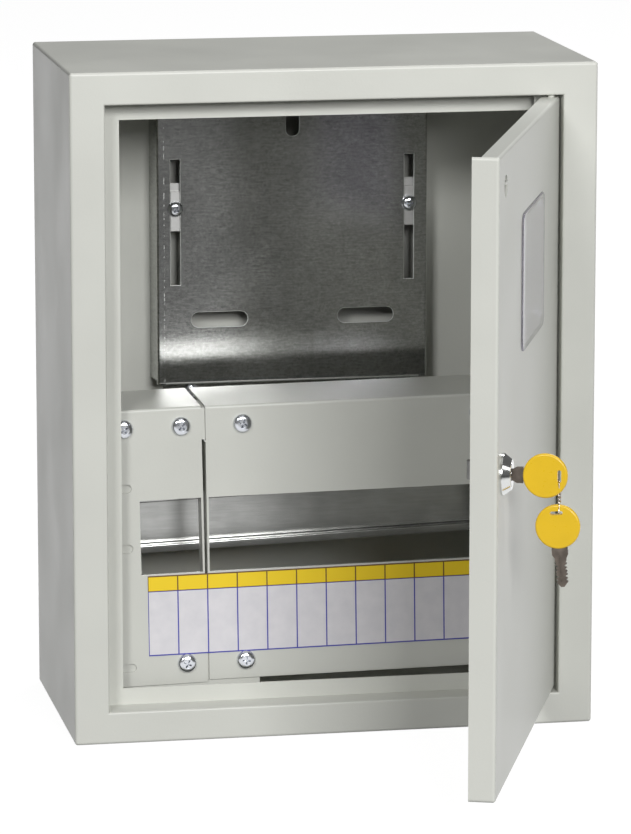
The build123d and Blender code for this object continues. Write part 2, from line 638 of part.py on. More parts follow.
def folded_cover(x0, x1, seam, bottom):
    """A cover: front, long top flange over the devices and a short flange along the seam."""
    back = COVER_DEPTH + COVER_TOP_FLANGE
    cover = block(x0, x1, COVER_DEPTH, back, bottom, COVER_TOP)
    bend = cover.faces().sort_by(Axis.Y)[0].edges().sort_by(Axis.Z)[-1]
    cover = fillet(bend, COVER_BEND)
    cover -= block(x0 - EPS, x1 + EPS, COVER_DEPTH + COVER_SHEET, back + EPS,
                   bottom - EPS, COVER_TOP - COVER_SHEET)
    flange = sorted((seam, seam + COVER_SHEET * (1 if seam == x0 else -1)))
    return cover + block(flange[0], flange[1], COVER_DEPTH + COVER_SHEET / 2, COVER_DEPTH + COVER_FLANGE,
                         SEAM_FLANGE_FROM, SEAM_FLANGE_TO)


def cover_holes(cover, screws, slots):
    """Screw holes and the obround adjustment slots."""
    behind = COVER_DEPTH + COVER_SHEET + EPS
    for x, z in screws:
        cover -= rod(x, z, COVER_SCREW_RADIUS + SCREW_PLAY, COVER_DEPTH - EPS, behind)
    for x, z in slots:
        cover -= sheet(Pos(x, z) * SlotOverall(*COVER_SLOT), COVER_DEPTH - EPS, COVER_SHEET + 2 * EPS)
    return cover


def left_cover():
    """The narrow cover over the sealed incoming device."""
    cover = folded_cover(-COVER_SIDE, SEAM_LEFT, SEAM_LEFT, COVER_BOTTOM)
    front = COVER_DEPTH
    cover += block(SEAM_LEFT - 2 * COVER_SHEET, SEAM_LEFT + SEAM_TAB_TOP, front + 0.2, front + COVER_SHEET,
                   SEAM_TAB_TOP_FROM, COVER_TOP - COVER_SHEET)
    cover += block(SEAM_LEFT - 2 * COVER_SHEET, SEAM_LEFT + SEAM_TAB_BOTTOM, front + 0.2, front + COVER_SHEET,
                   COVER_BOTTOM + COVER_SHEET, SEAM_TAB_BOTTOM_TO)
    cover -= block(CUTOUT_LEFT, SEAM_LEFT - COVER_SHEET, front - EPS, front + COVER_SHEET + EPS,
                   CUTOUT_BOTTOM, CUTOUT_TOP)
    return LEFT_LEAN * cover_holes(cover, COVER_SCREWS_LEFT, COVER_SLOTS_LEFT)


def right_cover():
    """The wide cover over the outgoing devices."""
    cover = folded_cover(SEAM_RIGHT, COVER_SIDE, SEAM_RIGHT, RIGHT_COVER_BOTTOM)
    cover -= block(SEAM_RIGHT + COVER_SHEET, CUTOUT_RIGHT, COVER_DEPTH - EPS, COVER_DEPTH + COVER_SHEET + EPS,
                   CUTOUT_BOTTOM, CUTOUT_TOP)
    return RIGHT_LEAN * cover_holes(cover, COVER_SCREWS_RIGHT, COVER_SLOTS_RIGHT)


def cover_screw_places():
    """Where the covers' screws lie in the cabinet."""
    left = [on(LEFT_LEAN, x, z) for x, z in COVER_SCREWS_LEFT]
    return left + [on(RIGHT_LEAN, x, z) for x, z in COVER_SCREWS_RIGHT]


def cover_screws():
    """The pan-head screws of both covers."""
    return Compound(children=[
        pan_head(x, z, COVER_SCREW_HEAD, COVER_SCREW_DOME, COVER_DEPTH,
                 COVER_SCREW_RADIUS, COVER_SCREW_LENGTH)
        for x, z in cover_screw_places()])


def cover_carrier():
    """The frame welded between the side walls, which the covers screw to."""
    half = WIDTH / 2 - SHEET
    depth = COVER_DEPTH + COVER_SHEET + CARRIER_PLAY
    inner = half - CARRIER_SHEET
    frame = block(-half, half, depth, depth + CARRIER_SHEET, CARRIER_BOTTOM, CARRIER_TOP)
    frame += block(-half, CARRIER_HEEL_TO, depth, depth + CARRIER_SHEET,
                   CARRIER_BOTTOM - CARRIER_HEEL, CARRIER_TOP)
    frame -= block(-CARRIER_POST, CARRIER_POST, depth - EPS, depth + CARRIER_SHEET + EPS,
                   CARRIER_WINDOW_BOTTOM, CARRIER_WINDOW_TOP)
    for x0, x1 in ((-half, -inner), (inner, half)):
        frame += block(x0, x1, depth, depth + CARRIER_FLANGE, CARRIER_BOTTOM, CARRIER_TOP)
    for x, z in cover_screw_places():
        frame -= rod(x, z, COVER_SCREW_RADIUS + THREAD_PLAY, depth - EPS, depth + CARRIER_SHEET + EPS)
    return frame


def label_strip():
    """The printed strip of twelve device labels stuck under the cut-out."""
    length = MODULE * MODULES
    outline = Pos(0, LABEL_TOP - LABEL_HEIGHT / 2) * Rectangle(length, LABEL_HEIGHT)
    strip = sheet(outline, COVER_DEPTH - LABEL_THICKNESS, LABEL_THICKNESS)
    strip = leaning(LABEL_LEAN, 0, LABEL_TOP - LABEL_HEIGHT / 2) * strip
    for x, z in cover_screw_places():
        strip -= rod(x, z, COVER_SCREW_HEAD + LABEL_SCREW_PLAY, COVER_DEPTH - EPS, COVER_DEPTH + EPS)
    return strip


def din_rail():
    """The top-hat rail, folded from one strip, with a slot at each end."""
    lip = (RAIL_HEIGHT - RAIL_CHANNEL) / 2
    half = RAIL_HEIGHT / 2
    web = half - lip - RAIL_SHEET / 2
    path = FilletPolyline((0, half), (0, web), (RAIL_HAT - RAIL_SHEET, web), (RAIL_HAT - RAIL_SHEET, -web),
                          (0, -web), (0, -half), radius=0.8)
    section = make_face(offset(path, amount=RAIL_SHEET, side=Side.LEFT, closed=True).edges())
    box = section.bounding_box()
    section = Pos(-box.min.X, -(box.min.Y + box.max.Y) / 2) * section
    rail = extrude(Plane.YZ.offset(-RAIL_LENGTH / 2) * section, RAIL_LENGTH)
    rail = Pos(0, FRONT + RAIL_DEPTH, RAIL_Z) * rail
    for x in (-RAIL_SCREW_X, RAIL_SCREW_X):
        rail -= sheet(Pos(x, RAIL_Z) * SlotOverall(RAIL_SLOT, 2 * (RAIL_SCREW_RADIUS + SCREW_PLAY)),
                      RAIL_DEPTH + EPS, RAIL_HAT)
    return RAIL_PLACE * rail


def rail_screw_places():
    """Where the rail's two screws lie in the cabinet."""
    return [on(RAIL_PLACE, x, RAIL_Z) for x in (-RAIL_SCREW_X, RAIL_SCREW_X)]


def rail_bracket(side):
    """A Z-shaped strip that carries one end of the rail from the rear sheet."""
    x, z = rail_screw_places()[0 if side < 0 else 1]
    front = RAIL_DEPTH + RAIL_HAT
    half = BRACKET_WIDTH / 2
    web_x = x + side * BRACKET_FOOT / 2
    nose = [web_x - side * BRACKET_FOOT, web_x]
    foot = [web_x - side * BRACKET_SHEET, web_x + side * BRACKET_FOOT]
    bracket = block(min(nose), max(nose), front, front + BRACKET_SHEET, z - half, z + half)
    web = sorted([web_x - side * BRACKET_SHEET, web_x])
    bracket += block(web[0], web[1], front, WALL, z - half, z + half)
    bracket += block(min(foot), max(foot), WALL - BRACKET_SHEET, WALL, z - half, z + half)
    hole = RAIL_SCREW_RADIUS + THREAD_PLAY
    bracket -= rod(x, z, hole, front - EPS, front + BRACKET_SHEET + EPS)
    bends = bracket.edges().filter_by(Axis.Z)
    outer = [edge for edge in bends
             if abs(edge.center().X - web_x) < 0.01 and edge.center().Y - FRONT < front + 0.01]
    return fillet(outer, BRACKET_SHEET * 0.9)


def rail_screws():
    """The two screws that fix the rail on its brackets."""
    seat = RAIL_DEPTH + RAIL_HAT - RAIL_SHEET
    return Compound(children=[
        pan_head(x, z, RAIL_SCREW_HEAD, RAIL_SCREW_DOME, seat, RAIL_SCREW_RADIUS, RAIL_SCREW_LENGTH)
        for x, z in rail_screw_places()])


def plate_solid(front_half, front, rear_half, rear, low, high):
    """A block whose sides lean outwards towards the wall."""
    outline = Polyline((-front_half, front), (front_half, front), (rear_half, rear),
                       (-rear_half, rear), close=True)
    return Pos(0, 0, low) * extrude(make_face(outline), high - low)


def meter_plate():
    """The galvanised plate on four flanges, with feet above and below it on the rear sheet."""
    half = PLATE_WIDTH / 2
    front, rear = FRONT + PLATE_DEPTH, FRONT + WALL
    pan = plate_solid(half, front, half + PLATE_LEAN, rear, PLATE_BOTTOM, PLATE_TOP)
    pan = fillet(pan.faces().sort_by(Axis.Y)[0].edges(), 1.4)
    pan -= plate_solid(half - PLATE_SHEET, front + PLATE_SHEET, half + PLATE_LEAN - PLATE_SHEET, rear + EPS,
                       PLATE_BOTTOM + PLATE_SHEET, PLATE_TOP - PLATE_SHEET)
    for side in (-1, 1):
        corner = side * (half + PLATE_LEAN)
        x0, x1 = sorted((corner + side * EPS, side * (half - PLATE_RELIEF)))
        for z in (PLATE_BOTTOM, PLATE_TOP):
            pan -= block(x0, x1, PLATE_DEPTH + PLATE_RELIEF, WALL + EPS, z - PLATE_RELIEF, z + PLATE_RELIEF)
    foot_half = half - 6.0
    for z0, z1 in ((PLATE_TOP - PLATE_SHEET, PLATE_TOP + PLATE_FOOT),
                   (PLATE_BOTTOM - PLATE_FOOT, PLATE_BOTTOM + PLATE_SHEET)):
        pan += block(-foot_half, foot_half, WALL - PLATE_SHEET, WALL, z0, z1)
    for x, z in plate_stud_places():
        pan -= rod(x, z, PLATE_STUD_RADIUS + SCREW_PLAY, WALL - PLATE_SHEET - EPS, WALL + EPS)
    for side in (-1, 1):
        slot_height = PLATE_SIDE_SLOT_TOP - PLATE_SIDE_SLOT_BOTTOM
        middle = (PLATE_SIDE_SLOT_TOP + PLATE_SIDE_SLOT_BOTTOM) / 2
        pan -= sheet(Pos(side * PLATE_SIDE_SLOT_X, middle) * Rectangle(PLATE_SIDE_SLOT_WIDTH, slot_height),
                     PLATE_DEPTH - EPS, PLATE_SHEET + 2 * EPS)
        pan -= sheet(Pos(side * PLATE_LOWER_SLOT_X, PLATE_LOWER_SLOT_Z) * SlotOverall(*PLATE_LOWER_SLOT),
                     PLATE_DEPTH - EPS, PLATE_SHEET + 2 * EPS)
    hook_middle = PLATE_HOOK_SLOT_BOTTOM + PLATE_HOOK_SLOT[1] / 2
    hook = Pos(0, hook_middle) * Rot(0, 0, 90) * SlotOverall(PLATE_HOOK_SLOT[1], PLATE_HOOK_SLOT[0])
    pan -= sheet(hook, PLATE_DEPTH - EPS, PLATE_SHEET + 2 * EPS)
    face = pan.faces().filter_by(Plane.XZ).sort_by(Axis.Y)[0]
    return fillet([edge for wire in face.inner_wires() for edge in wire.edges()], PLATE_PUNCH)


def plate_stud_places():
    """Four places on the plate's feet."""
    rows = (PLATE_BOTTOM - PLATE_FOOT / 2, PLATE_TOP + PLATE_FOOT / 2)
    return [(sx * PLATE_STUD_X, z) for sx in (-1, 1) for z in rows]


def plate_studs():
    """Studs welded on the rear sheet for the meter plate."""
    tip = WALL - PLATE_STUD_LENGTH
    return Compound(children=[rod(x, z, PLATE_STUD_RADIUS, tip, WALL) for x, z in plate_stud_places()])


def plate_nuts():
    """Nuts on the studs of the meter plate."""
    seat = WALL - PLATE_SHEET
    nuts = []
    for x, z in plate_stud_places():
        nut = hexagon(x, z, NUT_FLATS, seat - NUT, seat)
        nuts.append(nut - rod(x, z, PLATE_STUD_RADIUS + THREAD_PLAY, seat - NUT - EPS, seat + EPS))
    return Compound(children=nuts)


def meter_slider(side):
    """A nut strip behind the plate; its tongue fills the slot and its top end is joggled back."""
    x = side * PLATE_SIDE_SLOT_X
    half = SLIDER_WIDTH / 2
    back = PLATE_DEPTH + PLATE_SHEET
    low, high = SLIDER_Z - SLIDER_HEIGHT / 2, SLIDER_Z + SLIDER_HEIGHT / 2
    bend = high - SLIDER_JOGGLE
    tongue = PLATE_SIDE_SLOT_WIDTH / 2 - SLIDER_PLAY
    strip = block(x - half, x + half, back + SLIDER_PLAY, back + SLIDER_SHEET, low, bend)
    strip += block(x - tongue, x + tongue, back - 0.8, back + SLIDER_SHEET, low, bend)
    strip += block(x - half, x + half, back + SLIDER_SHEET, back + 2 * SLIDER_SHEET,
                   bend - SLIDER_SHEET, high)
    hole = SLIDER_SCREW_RADIUS + THREAD_PLAY
    return strip - rod(x, SLIDER_SCREW_Z, hole, back - 2, back + 3 * SLIDER_SHEET)


def slider_screw(side):
    """The screw that clamps a slider and carries the meter's ear."""
    return pan_head(side * PLATE_SIDE_SLOT_X, SLIDER_SCREW_Z, SLIDER_SCREW_HEAD, SLIDER_SCREW_DOME,
                    PLATE_DEPTH - SLIDER_PLAY, SLIDER_SCREW_RADIUS, SLIDER_SCREW_LENGTH)


def bar_depth():
    """Depth of the front of both bars."""
    return WALL - BAR_STANDOFF - BAR_THICKNESS


def terminal_bar(side):
    """A brass bar with wire holes from below and a clamping screw hole from the front at each."""
    centre = side * BAR_X
    front = bar_depth()
    bar = block(centre - BAR_LENGTH / 2, centre + BAR_LENGTH / 2, front, front + BAR_THICKNESS,
                BAR_Z - BAR_HEIGHT / 2, BAR_Z + BAR_HEIGHT / 2)
    for x in terminal_places(side):
        bar -= Pos(x, FRONT + front + BAR_HOLE_DEPTH, BAR_Z) * Cylinder(BAR_HOLE_RADIUS, BAR_HEIGHT + EPS)
        bar -= rod(x, BAR_Z, BAR_SCREW_RADIUS + THREAD_PLAY, front - EPS, front + BAR_SCREW_IN)
    for x in (centre - BAR_FOOT_X, centre + BAR_FOOT_X):
        bar -= rod(x, BAR_Z, BAR_FIX_RADIUS + THREAD_PLAY, front - EPS, front + BAR_THICKNESS + EPS)
    return bar


def terminal_places(side):
    """The terminals, evenly spaced between the bar's two fixings."""
    pitch = 2 * (BAR_FOOT_X - BAR_EDGE) / (BAR_TERMINALS - 1)
    return [side * BAR_X + (index - (BAR_TERMINALS - 1) / 2) * pitch for index in range(BAR_TERMINALS)]


def bar_supports(side):
    """The two posts between a bar and the rear sheet."""
    posts = []
    for x in (side * BAR_X - BAR_FOOT_X, side * BAR_X + BAR_FOOT_X):
        post = rod(x, BAR_Z, BAR_STANDOFF_RADIUS - 1, WALL - BAR_STANDOFF, WALL)
        post += rod(x, BAR_Z, BAR_STANDOFF_RADIUS, WALL - BAR_STANDOFF * 0.75, WALL - BAR_STANDOFF * 0.25)
        end = WALL - BAR_STANDOFF
        bore = rod(x, BAR_Z, BAR_FIX_RADIUS + THREAD_PLAY, end - EPS, end + BAR_FIX_LENGTH + EPS)
        posts.append(post - bore)
    return Compound(children=posts)


def bar_screws():
    """Clamping screws of both bars and the screws that fix the bars on their posts."""
    screws = []
    front = bar_depth()
    for side in (-1, 1):
        for x in terminal_places(side):
            screw = rod(x, BAR_Z, BAR_SCREW_RADIUS, front - BAR_SCREW_OUT, front + BAR_SCREW_IN)
            slot = Pos(x, BAR_Z) * Rectangle(3 * BAR_SCREW_RADIUS, 0.7)
            screws.append(screw - sheet(slot, front - BAR_SCREW_OUT - EPS, EPS + 0.9))
        for x in (side * BAR_X - BAR_FOOT_X, side * BAR_X + BAR_FOOT_X):
            head = rod(x, BAR_Z, BAR_FIX_HEAD, front - BAR_FIX_DOME, front)
            slot = Pos(x, BAR_Z) * Rectangle(3 * BAR_FIX_HEAD, 0.9)
            head -= sheet(slot, front - BAR_FIX_DOME - EPS, EPS + 0.9)
            screws.append(head + rod(x, BAR_Z, BAR_FIX_RADIUS, front, front + BAR_THICKNESS + BAR_FIX_LENGTH))
    return Compound(children=screws)


def earth_stud():
    """The earth stud welded on the rear sheet."""
    return rod(EARTH_X, EARTH_Z, EARTH_RADIUS, WALL - EARTH_LENGTH, WALL)


def earth_nuts():
    """A plain washer and a nut on the earth stud."""
    seat = WALL
    washer = rod(EARTH_X, EARTH_Z, EARTH_WASHER_RADIUS, seat - EARTH_WASHER, seat)
    nut = hexagon(EARTH_X, EARTH_Z, EARTH_NUT_FLATS, seat - EARTH_WASHER - EARTH_NUT, seat - EARTH_WASHER)
    bore = rod(EARTH_X, EARTH_Z, EARTH_RADIUS + THREAD_PLAY, seat - EARTH_LENGTH, seat + EPS)
    return Compound(children=[washer - bore, nut - bore])


def main():
    pieces = {
        "body_shell": body_shell(),
        "back_panel": back_panel(),
        "door": hung(door()),
        "upper_hinge_block": hung(hinge_block(DOOR_TOP - SHEET - HINGE_BLOCK_HEIGHT)),
        "lower_hinge_block": hung(hinge_block(DOOR_BOTTOM + SHEET)),
        "upper_hinge_pin": hinge_pin(False),
        "lower_hinge_pin": hinge_pin(True),
        "hinge_washer": hinge_washer(),
        "window_pane": hung(window_pane()),
        "window_gasket": hung(window_gasket()),
        "window_clamp": hung(window_clamp()),
        "window_studs": window_studs(),
        "window_nuts": window_nuts(),
        "lock_body": hung(lock_body()),
        "lock_nut": hung(lock_nut()),
        "lock_plug": hung(lock_plug()),
        "lock_cam": hung(lock_cam()),
        "cam_screw": hung(cam_screw()),
        "key_blade": key_in_lock(key_blade()),
        "key_head": key_in_lock(key_head()),
        "key_link": hung(key_link()),
        "spare_key_blade": spare_key(key_blade()),
        "spare_key_head": spare_key(key_head()),
        "cover_carrier": cover_carrier(),
        "left_cover": left_cover(),
        "right_cover": right_cover(),
        "cover_screws": cover_screws(),
        "label_strip": label_strip(),
        "din_rail": din_rail(),
        "left_rail_bracket": rail_bracket(-1),
        "right_rail_bracket": rail_bracket(1),
        "rail_screws": rail_screws(),
        "meter_plate": meter_plate(),
        "plate_studs": plate_studs(),
        "plate_nuts": plate_nuts(),
        "left_meter_slider": meter_slider(-1),
        "right_meter_slider": meter_slider(1),
        "left_slider_screw": slider_screw(-1),
        "right_slider_screw": slider_screw(1),
        "neutral_bar": terminal_bar(-1),
        "earth_bar": terminal_bar(1),
        "neutral_insulators": bar_supports(-1),
        "earth_posts": bar_supports(1),
        "bar_screws": bar_screws(),
        "earth_stud": earth_stud(),
        "earth_nuts": earth_nuts(),
    }
    os.makedirs("parts", exist_ok=True)
    for name, piece in pieces.items():
        export_step(piece, f"parts/{name}.step")


main()
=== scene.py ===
import math

import bmesh
import bpy
from mathutils import Matrix, Vector


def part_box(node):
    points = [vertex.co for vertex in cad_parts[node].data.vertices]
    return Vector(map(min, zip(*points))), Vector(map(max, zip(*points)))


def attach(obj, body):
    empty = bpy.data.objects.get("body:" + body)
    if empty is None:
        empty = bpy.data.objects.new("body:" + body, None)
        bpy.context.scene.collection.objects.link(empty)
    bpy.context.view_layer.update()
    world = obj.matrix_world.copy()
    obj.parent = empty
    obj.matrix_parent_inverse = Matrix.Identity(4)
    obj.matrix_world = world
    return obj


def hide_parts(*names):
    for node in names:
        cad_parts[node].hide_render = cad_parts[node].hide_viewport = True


bl_info = {
    "name": "Meter Enclosure Looks",
    "version": (1, 0, 0),
    "blender": (4, 5, 0),
    "location": "3D View > Sidebar > Enclosure",
    "description": "Finishes, screws, printed label, lights and camera for a sheet-steel meter enclosure",
    "category": "Object",
}

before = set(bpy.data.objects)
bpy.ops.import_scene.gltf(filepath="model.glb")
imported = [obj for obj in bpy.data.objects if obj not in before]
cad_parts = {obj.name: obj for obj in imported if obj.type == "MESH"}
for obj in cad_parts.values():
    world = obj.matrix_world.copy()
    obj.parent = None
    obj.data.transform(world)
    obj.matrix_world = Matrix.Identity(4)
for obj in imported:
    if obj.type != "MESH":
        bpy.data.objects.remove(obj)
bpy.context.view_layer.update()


# Driving sizes in metres and angles in radians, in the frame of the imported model
DOOR_OPEN = math.radians(69.7)
FRONT = -0.08
COVER_SCREW_SEAT = FRONT + 0.030
MODULE = 0.0178
LABEL_LEAN = math.radians(0.7)
LABEL_TOP = 0.0943
LABEL_HEIGHT = 0.0484
LABEL_HEADER = 0.0094
# The meter plate's painted reflection line beside its left bend: its distance from the middle and half its
# width
BEND_REFLECTION_X = 0.0789
BEND_REFLECTION_HALF_WIDTH = 0.0002
RAIL_FRONT = -0.0135

# Screws: height of the head, and the threaded shank's radius, lengths and pitch
HEAD_DOME = 0.003
SHANK_RADIUS = 0.002
COVER_SHANK = 0.009
SLIDER_SHANK = 0.007
THREAD_PITCH = 0.0007
SMOOTH_ANGLE = math.radians(32)
COVER_SCREW_COUNT = 7

# Colours that no user setting changes
# Painted highlight on the meter plate's rounded edges, also standing for burnish
BURNISH_HIGHLIGHT_ZINC = (0.86, 0.88, 0.85)
BRIGHT_ZINC = (0.66, 0.68, 0.71)
SLIDER_ZINC = (0.5, 0.5, 0.49)
# Zinc darkened as painted shade, for the lock cam and its screw
CAM_SHADE_ZINC = (0.24, 0.24, 0.235)
SCREW_PLATING = (0.68, 0.70, 0.74)
LOCK_CHROME = (0.70, 0.71, 0.70)
BAR_BRASS = (0.72, 0.53, 0.24)
KEY_NICKEL = (0.20, 0.17, 0.145)
LINK_STEEL = (0.60, 0.54, 0.49)
BLACK_RUBBER = (0.02, 0.02, 0.021)
INSULATOR_BLUE = (0.02, 0.07, 0.3)
BLUE_INK = (0.05, 0.05, 0.36)
BROWN_INK = (0.13, 0.065, 0.02)

# Floor: bright round the object and darker in front, between two places along Y
FLOOR_SIZE = 12
FLOOR_DROP = -0.0002
FLOOR_DARK_FROM = -1.3
FLOOR_BRIGHT_FROM = -0.6
FLOOR_FAR = 0.04
FLOOR_SHADE = 0.11
FLOOR_GLOW = 0.94

# World: its strength as light, and where the camera, metal or glass shows it
WORLD_LIGHT = 0.03
WORLD_SEEN = 0.14

# Lights: name, place, the point it looks at, width, height and power in watts
LIGHTS = (
    ("front_softbox", (0.5, -4.4, 1.85), (0, 0, 0.2), 1.7, 1.4, 144),
    ("fill_softbox", (-2.0, -3.8, 2.1), (0, 0, 0.2), 0.9, 0.9, 74),
    ("right_softbox", (2.6, -1.3, 1.2), (0, -0.15, 0.2), 1.4, 1.4, 14),
    ("top_softbox", (-0.1, -0.35, 2.3), (0, 0, 0.3), 2.0, 1.6, 9),
    ("rear_softbox", (1.9, 2.3, 2.9), (0, 0, 0.2), 1.4, 1.0, 55))


class EnclosureFinishes(bpy.types.PropertyGroup):
    """Colours and surface values of the painted and plated parts."""

    paint: bpy.props.FloatVectorProperty(
        name="Powder coat", description="Colour of the powder coat on the cabinet and the door",
        subtype="COLOR", size=3, min=0, max=1, default=(0.61, 0.617, 0.572))
    paint_roughness: bpy.props.FloatProperty(
        name="Powder coat roughness", description="Roughness of the powder coat",
        subtype="FACTOR", min=0, max=1, default=0.34)
    peel: bpy.props.FloatProperty(
        name="Orange peel", description="Size of the powder coat's fine bumps",
        subtype="DISTANCE", unit="LENGTH", min=0.0003, max=0.01, default=0.0016)
    zinc: bpy.props.FloatVectorProperty(
        name="Galvanised sheet", description="Colour of the galvanised plate and rail",
        subtype="COLOR", size=3, min=0, max=1, default=(0.53, 0.535, 0.52))
    spangle: bpy.props.FloatProperty(
        name="Spangle", description="Size of the crystals on the galvanised sheet",
        subtype="DISTANCE", unit="LENGTH", min=0.0005, max=0.03, default=0.0012)
    key_yellow: bpy.props.FloatVectorProperty(
        name="Key heads", description="Colour of the moulded key heads",
        subtype="COLOR", size=3, min=0, max=1, default=(0.76, 0.49, 0.016))
    header_yellow: bpy.props.FloatVectorProperty(
        name="Label header", description="Colour of the label's header band",
        subtype="COLOR", size=3, min=0, max=1, default=(0.84, 0.60, 0.02))


class EnclosureSizes(bpy.types.PropertyGroup):
    """Sizes of the small pieces."""

    cover_screw: bpy.props.FloatProperty(
        name="Cover screw head", description="Diameter of the heads of the cover screws",
        subtype="DISTANCE", unit="LENGTH", min=0.004, max=0.02, default=0.0112)
    slider_screw: bpy.props.FloatProperty(
        name="Slider screw head", description="Diameter of the heads of the slider screws",
        subtype="DISTANCE", unit="LENGTH", min=0.004, max=0.02, default=0.0092)
    link_wire: bpy.props.FloatProperty(
        name="Link wire", description="Diameter of the wire that links the keys",
        subtype="DISTANCE", unit="LENGTH", min=0.0002, max=0.003, default=0.0007)
    label_line: bpy.props.FloatProperty(
        name="Label line", description="Width of the printed lines on the label",
        subtype="DISTANCE", unit="LENGTH", min=0.0001, max=0.002, default=0.00075)


class EnclosureCamera(bpy.types.PropertyGroup):
    """The camera at the photograph's viewing angle."""

    place: bpy.props.FloatVectorProperty(
        name="Camera place", description="Where the camera stands",
        subtype="TRANSLATION", unit="LENGTH", size=3, default=(-0.5343, -2.85207, 0.73332))
    turn: bpy.props.FloatVectorProperty(
        name="Camera turn", description="The camera's rotation",
        subtype="EULER", unit="ROTATION", size=3,
        default=(math.radians(79.113), 0.0, math.radians(-10.666)))
    lens: bpy.props.FloatProperty(
        name="Lens", description="Focal length in millimetres on a 36 mm sensor",
        min=10, max=500, default=212.9)


def shader_node(nodes, kind, inputs=(), **settings):
    """Adds a node, sets its properties and fills its sockets with values or with other nodes' outputs."""
    made = nodes.new(kind)
    for name, value in settings.items():
        setattr(made, name, value)
    for key, value in dict(inputs).items():
        if isinstance(value, bpy.types.NodeSocket):
            nodes.id_data.links.new(value, made.inputs[key])
        else:
            made.inputs[key].default_value = value
    return made


def new_finish(name, **values):
    """A material with one shader; the values are set on the shader's own sockets."""
    material = bpy.data.materials.new(name)
    material.use_nodes = True
    nodes = material.node_tree.nodes
    shader = nodes["Principled BSDF"]
    for key, value in values.items():
        shader.inputs[key.replace("_", " ")].default_value = value
    return material, nodes, shader


def feed(nodes, shader, outputs):
    """Links nodes' outputs to the shader's sockets of the given names."""
    for socket, output in outputs.items():
        nodes.id_data.links.new(output, shader.inputs[socket])


def object_place(nodes):
    return shader_node(nodes, "ShaderNodeTexCoord").outputs["Object"]


def axis_of(nodes, vector, axis):
    return shader_node(nodes, "ShaderNodeSeparateXYZ", {"Vector": vector}).outputs[axis]


def math_node(nodes, operation, *values):
    return shader_node(nodes, "ShaderNodeMath", dict(enumerate(values)), operation=operation).outputs[0]


def noise(nodes, place, scale, detail):
    return shader_node(nodes, "ShaderNodeTexNoise", {"Vector": place, "Scale": scale, "Detail": detail})


def drawn_out(nodes, place, scales):
    """Noise that is stretched along the sheet, by one scale for each axis."""
    stretch = shader_node(nodes, "ShaderNodeMapping", {"Vector": place, "Scale": scales})
    return noise(nodes, stretch.outputs["Vector"], 1.0, 3.0).outputs["Fac"]


def bumped(nodes, height, strength, distance):
    return shader_node(nodes, "ShaderNodeBump", {
        "Strength": strength, "Distance": distance, "Height": height}).outputs["Normal"]


def between(nodes, value, low, high):
    """Spreads the middle of a noise's range between two values."""
    return shader_node(nodes, "ShaderNodeMapRange", {
        "Value": value, "From Min": 0.3, "From Max": 0.7, "To Min": low, "To Max": high}).outputs["Result"]


def blend_of(nodes, first, first_share, second, second_share):
    """The sum of two values, each times its share."""
    return math_node(nodes, "ADD", math_node(nodes, "MULTIPLY", first, first_share),
                     math_node(nodes, "MULTIPLY", second, second_share))


def seen_or_mirrored(nodes):
    """1 for rays from the camera and those that metal or glass sends on, 0 for the light of surfaces."""
    paths = shader_node(nodes, "ShaderNodeLightPath")
    return math_node(nodes, "MAXIMUM", paths.outputs["Is Camera Ray"], math_node(
        nodes, "MAXIMUM", paths.outputs["Is Glossy Ray"], paths.outputs["Is Transmission Ray"]))


def ramp(nodes, source, stops):
    """Maps a value to colours or greys at the given places."""
    made = shader_node(nodes, "ShaderNodeValToRGB", {"Fac": source})
    elements = made.color_ramp.elements
    while len(elements) < len(stops):
        elements.new(0.5)
    for element, (place, shade) in zip(elements, stops):
        element.position = place
        element.color = (*shade, 1) if hasattr(shade, "__len__") else (shade, shade, shade, 1)
    return made.outputs["Color"]


def mix_colour(nodes, amount, first, second, blend="MIX"):
    """Mixes two colours; the numbers are the Mix node's sockets for colours."""
    made = shader_node(nodes, "ShaderNodeMix", {0: amount, 6: first, 7: second}, data_type="RGBA",
                       blend_type=blend)
    return made.outputs[2]


def scaled(colour, factor):
    return [min(1, channel * factor) for channel in colour]


def powder_coat(values, name="grey powder coat", tone=1.0):
    """Satin powder coat: fine orange peel, faint mottle and a little change of gloss."""
    material, nodes, shader = new_finish(name, IOR=1.48)
    place = object_place(nodes)
    mottle = noise(nodes, place, 14.0, 3.0).outputs["Fac"]
    # A tone below 1 darkens the whole coat; the covers' copy uses it as painted shade.
    dark = [c * tone * 0.975 for c in values.paint]
    light = [min(1, c * tone * 1.015) for c in values.paint]
    colour = ramp(nodes, mottle, [(0.35, dark), (0.65, light)])
    peel = noise(nodes, place, 1 / values.peel, 2.0).outputs["Fac"]
    speck = noise(nodes, place, 3.2 / values.peel, 1.0).outputs["Fac"]
    grain = math_node(nodes, "ADD", peel, math_node(nodes, "MULTIPLY", speck, 0.35))
    feed(nodes, shader, {
        "Base Color": colour,
        "Roughness": between(nodes, mottle, values.paint_roughness - 0.04, values.paint_roughness + 0.05),
        "Normal": bumped(nodes, grain, 0.16, 0.0003)})
    return material


